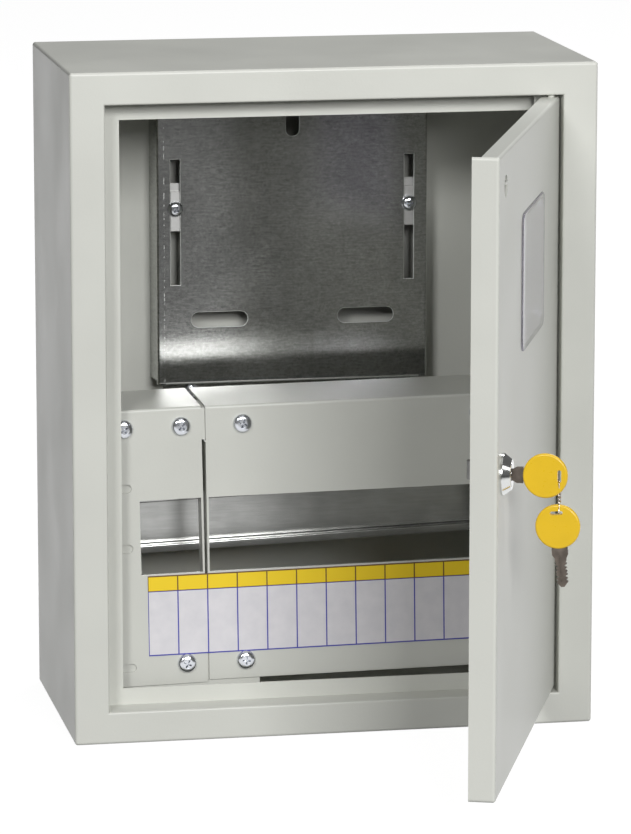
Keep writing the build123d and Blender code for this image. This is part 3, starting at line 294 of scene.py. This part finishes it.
def galvanised(values, name="galvanised sheet", tone=1.0, gloss=0.13, painted_highlights=False):
    """Galvanised sheet: fine crystals that differ in tone and gloss, with rolling lines across.

    With painted_highlights, the rounded edges of its slots and bends get a painted highlight that also
    stands for burnish, and a broken line beside its left bend is a painted reflection.
    """
    material, nodes, shader = new_finish(name, Metallic=0.94)
    place = object_place(nodes)
    crystals = shader_node(nodes, "ShaderNodeTexVoronoi", {"Vector": place, "Scale": 1 / values.spangle},
                           feature="F1")
    fine = noise(nodes, place, 420.0, 4.0)
    clouds = noise(nodes, place, 17.0, 3.0).outputs["Fac"]
    rolling = drawn_out(nodes, place, (150.0, 150.0, 900.0))
    grain = mix_colour(nodes, 0.65, crystals.outputs["Color"], fine.outputs["Color"])
    grain = mix_colour(nodes, 0.5, grain, rolling)
    grey = shader_node(nodes, "ShaderNodeRGBToBW", {"Color": grain}).outputs["Val"]
    zinc = [c * tone for c in values.zinc]
    shade = ramp(nodes, grey, [(0.35, scaled(zinc, 0.76)), (0.65, scaled(zinc, 1.22))])
    cloud = ramp(nodes, clouds, [(0.35, 0.78), (0.65, 1.0)])
    colour = mix_colour(nodes, 1.0, shade, cloud, "MULTIPLY")
    rough = between(nodes, blend_of(nodes, grey, 0.6, clouds, 0.4), gloss - 0.03, gloss + 0.05)
    height = math_node(nodes, "ADD", grey, math_node(nodes, "MULTIPLY", rolling, 0.8))
    # Painted highlight on the plate's rounded slot and bend edges, also standing for burnish, and a painted
    # reflection line beside the left bend
    if painted_highlights:
        highlight_mask = edge_highlight_mask(nodes, place, fine.outputs["Fac"])
        colour = mix_colour(nodes, highlight_mask, colour, (*BURNISH_HIGHLIGHT_ZINC, 1))
        rough = math_node(nodes, "MAXIMUM", rough, math_node(nodes, "MULTIPLY", highlight_mask, 0.6))
    feed(nodes, shader, {
        "Base Color": colour, "Roughness": rough, "Normal": bumped(nodes, height, 0.05, 0.0001)})
    return material


def edge_highlight_mask(nodes, place, grain):
    """Where the meter plate gets painted light: a painted highlight on the rounded edges of its slots and
    bends, which also stands for burnish, and a broken line beside its left bend as a painted reflection.
    """
    normal = shader_node(nodes, "ShaderNodeNewGeometry").outputs["True Normal"]
    facing = axis_of(nodes, normal, "Y")
    rounded = math_node(nodes, "MULTIPLY", math_node(nodes, "GREATER_THAN", facing, -0.985),
                        math_node(nodes, "LESS_THAN", facing, -0.15))
    across = axis_of(nodes, place, "X")
    inside = math_node(nodes, "LESS_THAN", math_node(nodes, "ABSOLUTE", across), BEND_REFLECTION_X - 0.0005)
    # Painted reflection: a broken light line beside the plate's left bend
    from_line = math_node(nodes, "ABSOLUTE", math_node(nodes, "ADD", across, BEND_REFLECTION_X))
    line = math_node(nodes, "MULTIPLY", math_node(nodes, "LESS_THAN", from_line, BEND_REFLECTION_HALF_WIDTH),
                     ramp(nodes, grain, [(0.44, 0.0), (0.6, 0.6)]))
    return math_node(nodes, "MAXIMUM", math_node(nodes, "MULTIPLY", rounded, inside), line)


def rail_zinc(values):
    """Plated rail strip, smooth in its channel, with a painted highlight on the fronts of its lips:
    lighter, less metallic and rougher there.
    """
    material, nodes, shader = new_finish("rail zinc")
    place = object_place(nodes)
    drawn = drawn_out(nodes, place, (60.0, 300.0, 700.0))
    clouds = noise(nodes, place, 55.0, 3.0).outputs["Fac"]
    grain = blend_of(nodes, drawn, 0.4, clouds, 0.6)
    channel = ramp(nodes, grain, [(0.35, scaled(values.zinc, 0.76)), (0.65, scaled(values.zinc, 0.97))])
    # Painted highlight on the lips' fronts
    lip_highlight = ramp(nodes, drawn, [(0.35, (0.50, 0.51, 0.51)), (0.6, (0.80, 0.81, 0.80))])
    lip_fronts = math_node(nodes, "LESS_THAN", axis_of(nodes, place, "Y"), RAIL_FRONT + 0.0011)
    feed(nodes, shader, {
        "Base Color": mix_colour(nodes, lip_fronts, channel, lip_highlight),
        "Metallic": math_node(nodes, "SUBTRACT", 0.95, math_node(nodes, "MULTIPLY", lip_fronts, 0.35)),
        "Roughness": math_node(nodes, "ADD", 0.24, math_node(nodes, "MULTIPLY", lip_fronts, 0.16)),
        "Normal": bumped(nodes, grain, 0.08, 0.0001)})
    return material


def plated(name, colour, roughness, wear=0.1, scale=260.0, bump_strength=0.06):
    """A plated or bare metal with faint handling marks."""
    material, nodes, shader = new_finish(name, Metallic=1.0)
    marks = noise(nodes, object_place(nodes), scale, 5.0).outputs["Fac"]
    feed(nodes, shader, {
        "Base Color": ramp(nodes, marks, [(0.3, [c * (1 - wear) for c in colour]), (0.7, list(colour))]),
        "Roughness": between(nodes, marks, max(0.02, roughness * 0.8), roughness * 1.25),
        "Normal": bumped(nodes, marks, bump_strength, 0.0001)})
    return material


def moulded(name, colour, roughness, depth=0.04):
    """Moulded plastic or rubber with a fine texture and a faint flow mottle."""
    material, nodes, shader = new_finish(name, IOR=1.5)
    place = object_place(nodes)
    flow = noise(nodes, place, 90.0, 2.0).outputs["Fac"]
    skin = noise(nodes, place, 700.0, 3.0).outputs["Fac"]
    feed(nodes, shader, {
        "Base Color": ramp(nodes, flow, [(0.3, [c * 0.95 for c in colour]), (0.7, list(colour))]),
        "Roughness": between(nodes, skin, roughness * 0.9, roughness * 1.1),
        "Normal": bumped(nodes, skin, depth, 0.0002)})
    return material


def clear_pane():
    """The clear pane, faintly dusty."""
    material, nodes, shader = new_finish(
        "clear pane", Base_Color=(0.78, 0.76, 0.84, 1), Transmission_Weight=0.85, IOR=1.5)
    dust = noise(nodes, object_place(nodes), 60.0, 4.0).outputs["Fac"]
    feed(nodes, shader, {"Roughness": between(nodes, dust, 0.03, 0.05)})
    return material


def printed_label(values, sizes):
    """Device label: yellow header cells with brown lines over white cells with blue lines."""
    material, nodes, shader = new_finish("printed label", Roughness=0.38, IOR=1.45)
    middle = LABEL_TOP - LABEL_HEIGHT / 2
    turned = shader_node(nodes, "ShaderNodeMapping", {
        "Vector": object_place(nodes), "Location": (0, 0, middle), "Rotation": (0, -LABEL_LEAN, 0)},
        vector_type="TEXTURE").outputs["Vector"]
    across, up = axis_of(nodes, turned, "X"), axis_of(nodes, turned, "Z")
    half_line = sizes.label_line / 2
    cell = math_node(nodes, "DIVIDE", across, MODULE)
    off = math_node(nodes, "ABSOLUTE", math_node(nodes, "SUBTRACT", cell, math_node(nodes, "ROUND", cell)))
    upright = math_node(nodes, "LESS_THAN", off, half_line / MODULE)
    header_edge = LABEL_HEIGHT / 2 - LABEL_HEADER
    in_header = math_node(nodes, "GREATER_THAN", up, header_edge)
    near_header = math_node(nodes, "ABSOLUTE", math_node(nodes, "SUBTRACT", up, header_edge))
    under_header = math_node(nodes, "LESS_THAN", near_header, half_line * 0.9)
    from_middle = math_node(nodes, "ABSOLUTE", up)
    border = math_node(nodes, "GREATER_THAN", from_middle, LABEL_HEIGHT / 2 - 2 * half_line)
    line = math_node(nodes, "MAXIMUM", upright, math_node(nodes, "MAXIMUM", under_header, border))
    blot = noise(nodes, turned, 120.0, 3.0).outputs["Fac"]
    paper = ramp(nodes, blot, [(0.3, (0.64, 0.63, 0.66)), (0.7, (0.70, 0.685, 0.71))])
    field = mix_colour(nodes, in_header, paper, (*values.header_yellow, 1))
    ink = mix_colour(nodes, in_header, (*BLUE_INK, 1), (*BROWN_INK, 1))
    feed(nodes, shader, {
        "Base Color": mix_colour(nodes, line, field, ink), "Normal": bumped(nodes, blot, 0.05, 0.0002)})
    return material


def finish_nodes(material, *names):
    """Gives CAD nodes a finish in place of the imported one."""
    for name in names:
        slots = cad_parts[name].material_slots
        for slot in slots:
            slot.material = material
        if not slots:
            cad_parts[name].data.materials.append(material)


def set_down(piece, body, slot, *replaced):
    """Puts a finished piece's place into its mesh, and ties it to its body; the slot argument is not used.
    """
    piece.data.transform(piece.matrix_world)
    piece.matrix_world = Matrix.Identity(4)
    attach(piece, body)
    if replaced:
        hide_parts(*replaced)


def clear_selection():
    if bpy.context.object and bpy.context.object.mode != "OBJECT":
        bpy.ops.object.mode_set(mode="OBJECT")
    bpy.ops.object.select_all(action="DESELECT")


def only(piece):
    """Selects one object and makes it active."""
    clear_selection()
    piece.select_set(True)
    bpy.context.view_layer.objects.active = piece


def select_in_edit(piece, faces=None, edges=None):
    """Selects faces or edges in edit mode by a test on the face or edge."""
    mesh = bmesh.from_edit_mesh(piece.data)
    for group in (mesh.verts, mesh.edges, mesh.faces):
        for element in group:
            element.select = False
    mesh.select_mode = {"FACE"} if faces else {"EDGE"}
    for element in (mesh.faces if faces else mesh.edges):
        if (faces or edges)(element):
            element.select = True
    mesh.select_flush_mode()
    bmesh.update_edit_mesh(piece.data)


def apply_modifiers(piece):
    only(piece)
    for modifier in list(piece.modifiers):
        bpy.ops.object.modifier_apply(modifier=modifier.name)


def screw_head(name, radius, dome):
    """A domed head with a flat crown and a tapered cross recess; it faces +Z from z = 0."""
    clear_selection()
    bpy.ops.mesh.primitive_cylinder_add(vertices=48, radius=radius, depth=dome, location=(0, 0, dome / 2))
    head = bpy.context.object
    head.name = name
    bpy.ops.object.transform_apply(location=True, rotation=True, scale=True)
    bpy.ops.object.mode_set(mode="EDIT")
    select_in_edit(head, edges=lambda e: min(v.co.z for v in e.verts) > dome - 1e-7)
    bpy.ops.mesh.bevel(offset=dome * 0.8, segments=8, profile=0.5)
    select_in_edit(head, faces=lambda f: f.normal.z > 0.99 and f.calc_center_median().z > dome * 0.9)
    bpy.ops.mesh.inset(thickness=radius * 0.2)
    bpy.ops.transform.translate(value=(0, 0, dome * 0.06))
    bpy.ops.object.mode_set(mode="OBJECT")
    for turn in (45, 135):
        clear_selection()
        bpy.ops.mesh.primitive_cube_add(size=1, location=(0, 0, dome), rotation=(0, 0, math.radians(turn)),
                                        scale=(radius * 1.15, radius * 0.24, dome * 1.1))
        cutter = bpy.context.object
        bpy.ops.object.mode_set(mode="EDIT")
        select_in_edit(cutter, faces=lambda f: f.normal.z < -0.9)
        bpy.ops.transform.resize(value=(0.45, 0.45, 1))
        bpy.ops.object.mode_set(mode="OBJECT")
        bpy.ops.object.transform_apply(location=True, rotation=True, scale=True)
        cut = head.modifiers.new("recess", "BOOLEAN")
        cut.operation = "DIFFERENCE"
        cut.object = cutter
        cut.solver = "MANIFOLD"
        apply_modifiers(head)
        bpy.data.objects.remove(cutter)
    only(head)
    bpy.ops.object.shade_smooth_by_angle(angle=SMOOTH_ANGLE)
    return head


def add_shank(head, radius, length, pitch):
    """A threaded shank below a head: the thread's profile is turned and raised by a Screw modifier."""
    clear_selection()
    bpy.ops.mesh.primitive_plane_add(size=pitch, location=(radius - pitch * 0.3, 0, -pitch / 2),
                                     rotation=(math.radians(90), 0, 0))
    thread = bpy.context.object
    bpy.ops.object.transform_apply(location=True, rotation=True, scale=True)
    bpy.ops.object.mode_set(mode="EDIT")
    select_in_edit(thread, edges=lambda e: min(v.co.x for v in e.verts) > radius - pitch * 0.3)
    bpy.ops.transform.resize(value=(1, 1, 0.25))
    bpy.ops.object.mode_set(mode="OBJECT")
    turned = thread.modifiers.new("thread", "SCREW")
    turned.screw_offset = -pitch
    turned.iterations = int(length / pitch) - 1
    turned.steps = turned.render_steps = 16
    turned.axis = "Z"
    apply_modifiers(thread)
    clear_selection()
    bpy.ops.mesh.primitive_cylinder_add(vertices=24, radius=radius * 0.82, depth=length,
                                        location=(0, 0, -length / 2))
    core = bpy.context.object
    for piece in (thread, core, head):
        piece.select_set(True)
    bpy.context.view_layer.objects.active = head
    bpy.ops.object.join()
    return bpy.context.object


def screws_at(pattern, places, turns, body, slot, material, names, replaced):
    """Copies a modelled screw to its places, each copy with its own mesh."""
    for name, place, spin in zip(names, places, turns):
        copy = bpy.data.objects.new(name, pattern.data.copy())
        bpy.context.scene.collection.objects.link(copy)
        copy.data.materials.clear()
        copy.data.materials.append(material)
        copy.matrix_world = Matrix.Translation(place) @ Matrix.Rotation(math.radians(90), 4, "X") \
            @ Matrix.Rotation(spin, 4, "Z")
        bpy.context.view_layer.update()
        set_down(copy, body, slot, *replaced)


def centres(node, count):
    """Middles of a node's separate solids, in rows from the bottom up, from its loose triangles."""
    mesh = bmesh.new()
    mesh.from_mesh(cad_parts[node].data)
    bmesh.ops.remove_doubles(mesh, verts=mesh.verts, dist=1e-6)
    left, found = set(mesh.verts), []
    while left:
        stack, island = [left.pop()], []
        while stack:
            vert = stack.pop()
            island.append(vert.co.copy())
            for edge in vert.link_edges:
                other = edge.other_vert(vert)
                if other in left:
                    left.remove(other)
                    stack.append(other)
        found.append((Vector(map(min, *island)) + Vector(map(max, *island))) / 2)
    mesh.free()
    if len(found) != count:
        raise RuntimeError(f"{node} has {len(found)} solids, not {count}")
    return sorted(found, key=lambda middle: (round(middle.z, 4), middle.x))


class ENCLOSURE_OT_painted_sheets(bpy.types.Operator):
    """Powder coat on the cabinet, the door and the hinges, and a copy darkened as painted shade on the
    covers and the carrier
    """

    bl_idname = "enclosure.painted_sheets"
    bl_label = "Painted Sheets"

    def execute(self, context):
        values = context.scene.enclosure_finishes
        finish_nodes(powder_coat(values), "body_shell", "back_panel", "door", "upper_hinge_block",
                     "lower_hinge_block", "upper_hinge_pin", "lower_hinge_pin", "hinge_washer")
        # The covers and the carrier get the cabinet's powder coat darkened by 6 percent, as painted shade.
        covers = powder_coat(values, "cover powder coat with painted shade", 0.94)
        finish_nodes(covers, "cover_carrier", "left_cover", "right_cover")
        return {"FINISHED"}


class ENCLOSURE_OT_galvanised_sheets(bpy.types.Operator):
    """Galvanised finish on the meter plate and the rail's brackets, and plating on the rail"""

    bl_idname = "enclosure.galvanised_sheets"
    bl_label = "Galvanised Sheets"

    def execute(self, context):
        values = context.scene.enclosure_finishes
        finish_nodes(galvanised(values, painted_highlights=True), "meter_plate")
        strip = galvanised(values, "galvanised strip", 0.95, 0.26)
        finish_nodes(strip, "left_rail_bracket", "right_rail_bracket")
        finish_nodes(rail_zinc(values), "din_rail")
        return {"FINISHED"}


class ENCLOSURE_OT_window(bpy.types.Operator):
    """Clear pane and its rubber seal"""

    bl_idname = "enclosure.window"
    bl_label = "Window"

    def execute(self, context):
        finish_nodes(clear_pane(), "window_pane")
        finish_nodes(moulded("black rubber", BLACK_RUBBER, 0.7, 0.1), "window_gasket")
        return {"FINISHED"}


class ENCLOSURE_OT_small_hardware(bpy.types.Operator):
    """Zinc plating on studs, nuts, sliders, clamp and plain screws, zinc darkened as painted shade on the
    cam and its screw, and the terminal bars' finishes
    """

    bl_idname = "enclosure.small_hardware"
    bl_label = "Small Hardware"

    def execute(self, context):
        zinc = plated("bright zinc", BRIGHT_ZINC, 0.24)
        finish_nodes(zinc, "window_studs", "window_nuts", "rail_screws", "plate_studs", "plate_nuts",
                     "bar_screws", "earth_stud", "earth_nuts", "earth_posts")
        # The cam and its screw get a darkened zinc as painted shade
        finish_nodes(plated("cam zinc with painted shade", CAM_SHADE_ZINC, 0.5), "lock_cam", "cam_screw")
        slider = plated("slider zinc", SLIDER_ZINC, 0.5)
        finish_nodes(slider, "left_meter_slider", "right_meter_slider", "window_clamp")
        finish_nodes(plated("bar brass", BAR_BRASS, 0.3), "neutral_bar", "earth_bar")
        finish_nodes(moulded("blue insulator", INSULATOR_BLUE, 0.45), "neutral_insulators")
        return {"FINISHED"}


class ENCLOSURE_OT_label(bpy.types.Operator):
    """Print on the label strip"""

    bl_idname = "enclosure.label"
    bl_label = "Label Print"

    def execute(self, context):
        scene = context.scene
        finish_nodes(printed_label(scene.enclosure_finishes, scene.enclosure_sizes), "label_strip")
        return {"FINISHED"}


class ENCLOSURE_OT_screws(bpy.types.Operator):
    """Cross-recessed pan-head screws of the covers and the meter sliders"""

    bl_idname = "enclosure.screws"
    bl_label = "Screws"

    def execute(self, context):
        sizes = context.scene.enclosure_sizes
        chrome = plated("bright screw plating", SCREW_PLATING, 0.19, 0.06)
        head = screw_head("cover_screw_pattern", sizes.cover_screw / 2, HEAD_DOME)
        pattern = add_shank(head, SHANK_RADIUS, COVER_SHANK, THREAD_PITCH)
        found = centres("cover_screws", COVER_SCREW_COUNT)
        places = [(middle.x, COVER_SCREW_SEAT, middle.z) for middle in found]
        turns = [0.35 + 1.9 * index for index in range(len(places))]
        names = [f"cover_screw_{index + 1}" for index in range(len(places))]
        screws_at(pattern, places, turns, "cabinet", "zinc_plated_steel", chrome, names, ["cover_screws"])
        bpy.data.objects.remove(pattern)
        head = screw_head("slider_screw_pattern", sizes.slider_screw / 2, HEAD_DOME)
        pattern = add_shank(head, SHANK_RADIUS, SLIDER_SHANK, THREAD_PITCH)
        for side, spin in (("left", 0.2), ("right", 0.75)):
            node = f"{side}_slider_screw"
            low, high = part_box(node)
            middle = (low + high) / 2
            place = (middle.x, low.y + HEAD_DOME, middle.z)
            screws_at(pattern, [place], [spin], f"{side}_slider", "zinc_plated_steel", chrome,
                      [f"{side}_slider_cross_screw"], [node])
        bpy.data.objects.remove(pattern)
        return {"FINISHED"}


class ENCLOSURE_OT_lock(bpy.types.Operator):
    """Chrome of the cylinder lock"""

    bl_idname = "enclosure.lock"
    bl_label = "Cylinder Lock"

    def execute(self, context):
        chrome = plated("lock chrome", LOCK_CHROME, 0.10, 0.04, 120.0, 0.02)
        finish_nodes(chrome, "lock_body", "lock_plug", "lock_nut")
        return {"FINISHED"}


class ENCLOSURE_OT_keys(bpy.types.Operator):
    """Steel and moulded heads of both keys"""

    bl_idname = "enclosure.keys"
    bl_label = "Keys"

    def execute(self, context):
        yellow = moulded("yellow key plastic", context.scene.enclosure_finishes.key_yellow, 0.3)
        finish_nodes(yellow, "key_head", "spare_key_head")
        finish_nodes(plated("key nickel", KEY_NICKEL, 0.34, 0.25), "key_blade", "spare_key_blade")
        return {"FINISHED"}


class ENCLOSURE_OT_key_link(bpy.types.Operator):
    """The twisted wire that links the keys"""

    bl_idname = "enclosure.key_link"
    bl_label = "Key Link"

    def execute(self, context):
        low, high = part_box("key_link")
        radius = context.scene.enclosure_sizes.link_wire / 2
        middle = (low + high) / 2
        top, bottom = high.z - radius, low.z + radius
        across = Matrix.Rotation(DOOR_OPEN, 3, "Z") @ Vector((1, 0, 0))
        outward = Matrix.Rotation(DOOR_OPEN, 3, "Z") @ Vector((0, 1, 0))
        eye, loose, turns, steps = 0.0021, 0.0008, 1.5, 60
        strand = []
        for step in range(steps + 1):
            share = step / steps
            height = top + (bottom - top) * share
            twist = min(max((share - 0.34) / 0.36, 0), 1)
            angle = twist * turns * 2 * math.pi
            ends = max(0.0, abs(share - 0.52) - 0.18) / 0.34
            width = loose + (eye + radius - loose) * math.sin(min(1.0, ends) * math.pi / 2) ** 2
            width *= math.sqrt(max(0.0, 1 - (max(0.0, ends - 0.75) / 0.25) ** 2)) if ends > 0.75 else 1
            strand.append((height, width, angle))
        points = [(z, w, a) for z, w, a in strand] + [(z, -w, a) for z, w, a in reversed(strand[1:-1])]
        curve = bpy.data.curves.new("twisted_key_link", "CURVE")
        curve.dimensions = "3D"
        curve.bevel_depth = radius
        curve.bevel_resolution = 3
        curve.use_fill_caps = True
        spline = curve.splines.new("POLY")
        spline.points.add(len(points) - 1)
        spline.use_cyclic_u = True
        for point, (height, width, angle) in zip(spline.points, points):
            side = across * (width * math.cos(angle)) + outward * (width * math.sin(angle))
            point.co = (middle.x + side.x, middle.y + side.y, height, 1)
        link = bpy.data.objects.new("twisted_key_link", curve)
        context.scene.collection.objects.link(link)
        only(link)
        bpy.ops.object.convert(target="MESH")
        link = context.object
        bpy.ops.object.shade_smooth()
        link.data.materials.append(plated("link wire", LINK_STEEL, 0.12))
        set_down(link, "link", "link_wire", "key_link")
        return {"FINISHED"}


class ENCLOSURE_OT_stage(bpy.types.Operator):
    """Pale floor, soft lights and the camera"""

    bl_idname = "enclosure.stage"
    bl_label = "Stage, Lights and Camera"

    def execute(self, context):
        clear_selection()
        bpy.ops.mesh.primitive_plane_add(size=FLOOR_SIZE, location=(0, 0, FLOOR_DROP))
        floor = context.object
        floor.name = "floor"
        material, nodes, shader = new_finish("pale floor", Roughness=0.9, Emission_Color=(1, 1, 1, 1))
        near = shader_node(nodes, "ShaderNodeMapRange", {
            "Value": axis_of(nodes, object_place(nodes), "Y"), "From Min": FLOOR_DARK_FROM,
            "From Max": FLOOR_BRIGHT_FROM, "To Min": FLOOR_FAR, "To Max": 1.0},
            interpolation_type="SMOOTHSTEP").outputs["Result"]
        glow = math_node(nodes, "MULTIPLY", seen_or_mirrored(nodes), near)
        feed(nodes, shader, {
            "Base Color": math_node(nodes, "MULTIPLY", near, FLOOR_SHADE),
            "Emission Strength": math_node(nodes, "MULTIPLY", glow, FLOOR_GLOW)})
        floor.data.materials.append(material)
        for values in LIGHTS:
            self.light(*values)
        self.world(context)
        self.camera(context)
        return {"FINISHED"}

    def light(self, name, place, target, width, height, power):
        lamp = bpy.data.lights.new(name, "AREA")
        lamp.shape = "RECTANGLE"
        lamp.size = width
        lamp.size_y = height
        lamp.energy = power
        holder = bpy.data.objects.new(name, lamp)
        bpy.context.scene.collection.objects.link(holder)
        holder.location = place
        holder.rotation_euler = (Vector(target) - Vector(place)).to_track_quat("-Z", "Y").to_euler()

    def world(self, context):
        world = bpy.data.worlds.new("white studio")
        context.scene.world = world
        world.use_nodes = True
        nodes = world.node_tree.nodes
        background = nodes["Background"]
        strength = shader_node(nodes, "ShaderNodeMapRange", {
            "Value": seen_or_mirrored(nodes), "To Min": WORLD_LIGHT, "To Max": WORLD_SEEN})
        nodes.id_data.links.new(strength.outputs["Result"], background.inputs["Strength"])
        background.inputs["Color"].default_value = (1, 1, 1, 1)

    def camera(self, context):
        values = context.scene.enclosure_camera
        lens = bpy.data.cameras.new("camera")
        lens.lens = values.lens
        lens.clip_start = 0.05
        lens.clip_end = 50
        holder = bpy.data.objects.new("camera", lens)
        context.scene.collection.objects.link(holder)
        holder.location = values.place
        holder.rotation_euler = values.turn
        context.scene.camera = holder
        context.scene.view_settings.view_transform = "Standard"


OPERATORS = (
    ENCLOSURE_OT_painted_sheets, ENCLOSURE_OT_galvanised_sheets, ENCLOSURE_OT_window,
    ENCLOSURE_OT_small_hardware, ENCLOSURE_OT_label, ENCLOSURE_OT_screws, ENCLOSURE_OT_lock,
    ENCLOSURE_OT_keys, ENCLOSURE_OT_key_link, ENCLOSURE_OT_stage)


class ENCLOSURE_PT_looks(bpy.types.Panel):
    """Lists the enclosure's values and its operators"""

    bl_label = "Enclosure"
    bl_idname = "ENCLOSURE_PT_looks"
    bl_space_type = "VIEW_3D"
    bl_region_type = "UI"
    bl_category = "Enclosure"

    def draw(self, context):
        scene = context.scene
        for group in (scene.enclosure_finishes, scene.enclosure_sizes, scene.enclosure_camera):
            box = self.layout.box()
            for name in group.__annotations__:
                box.prop(group, name)
        for operator in OPERATORS:
            self.layout.operator(operator.bl_idname)


CLASSES = (EnclosureFinishes, EnclosureSizes, EnclosureCamera, *OPERATORS, ENCLOSURE_PT_looks)


def register():
    for item in CLASSES:
        bpy.utils.register_class(item)
    bpy.types.Scene.enclosure_finishes = bpy.props.PointerProperty(type=EnclosureFinishes)
    bpy.types.Scene.enclosure_sizes = bpy.props.PointerProperty(type=EnclosureSizes)
    bpy.types.Scene.enclosure_camera = bpy.props.PointerProperty(type=EnclosureCamera)


def unregister():
    del bpy.types.Scene.enclosure_camera
    del bpy.types.Scene.enclosure_sizes
    del bpy.types.Scene.enclosure_finishes
    for item in reversed(CLASSES):
        bpy.utils.unregister_class(item)


def main():
    register()
    for operator in OPERATORS:
        group, name = operator.bl_idname.split(".")
        getattr(getattr(bpy.ops, group), name)()


if __name__ == "__main__":
    main()
